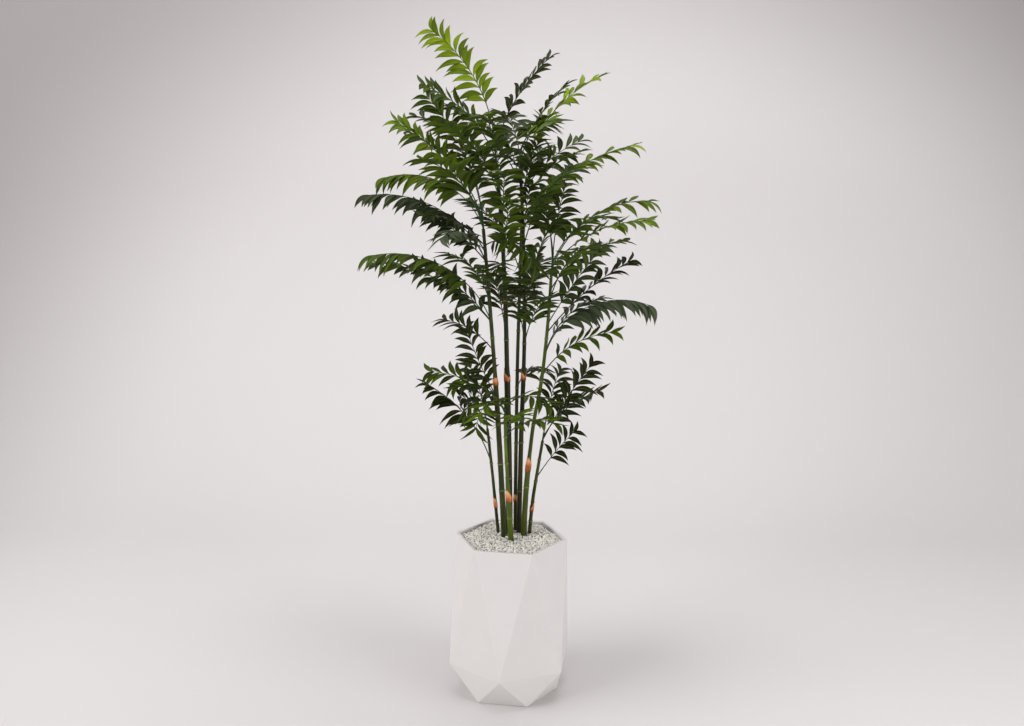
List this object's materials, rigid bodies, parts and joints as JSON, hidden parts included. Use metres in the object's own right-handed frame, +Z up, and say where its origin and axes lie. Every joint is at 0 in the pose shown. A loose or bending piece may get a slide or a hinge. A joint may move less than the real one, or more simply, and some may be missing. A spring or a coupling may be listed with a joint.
{
  "type": "potted bamboo palm",
  "caption": "Tall bamboo palm with ringed canes and feathery fronds in a white faceted hexagonal planter topped with pale gravel.",
  "frame": {"origin": "middle of the planter's flat foot, on the surface it stands on", "axes": "+Z up along the planter's axis; -Y towards the viewer of the picture; +X to that viewer's right"},
  "size_m": [0.8137, 0.6528, 1.8415],
  "materials": {
    "planter": "white satin, smooth flat facets",
    "filling": "rough rigid foam, hidden under the gravel",
    "gravel": "matt white pebbles",
    "cane": "smooth satin green bark with pale rings",
    "sheath": "dry papery fibre, matt",
    "leaf": "green leaf with a soft waxy sheen"
  },
  "bodies": {
    "root": {"cane_a": "cane", "cane_b": "cane", "cane_c": "cane", "cane_d": "cane", "cane_e": "cane", "cane_f": "cane", "cane_g": "cane", "cane_h": "cane", "crown_a": "leaf", "crown_b": "leaf", "crown_c": "leaf", "crown_d": "leaf", "crown_e": "leaf", "crown_f": "leaf", "crown_g": "leaf", "crown_h": "leaf", "filling_block": "filling", "frond_a1": "leaf", "frond_b1": "leaf", "frond_b2": "leaf", "frond_b3": "leaf", "frond_b4": "leaf", "frond_b5": "leaf", "frond_b6": "leaf", "frond_b7": "leaf", "frond_b8": "leaf", "frond_c1": "leaf", "frond_d1": "leaf", "frond_d2": "leaf", "frond_d3": "leaf", "frond_d4": "leaf", "frond_d5": "leaf", "frond_e1": "leaf", "frond_e2": "leaf", "frond_e3": "leaf", "frond_e4": "leaf", "frond_f1": "leaf", "frond_f2": "leaf", "frond_f3": "leaf", "frond_f4": "leaf", "frond_f5": "leaf", "frond_f6": "leaf", "frond_g1": "leaf", "frond_g2": "leaf", "frond_g3": "leaf", "frond_g4": "leaf", "frond_g5": "leaf", "frond_g6": "leaf", "frond_h1": "leaf", "gravel": "gravel", "planter": "planter", "sheath_a1": "sheath", "sheath_b1": "sheath", "sheath_c1": "sheath", "sheath_d1": "sheath", "sheath_d2": "sheath", "sheath_e1": "sheath", "sheath_f1": "sheath", "sheath_g1": "sheath", "sheath_h1": "sheath"}
  },
  "joints": []
}
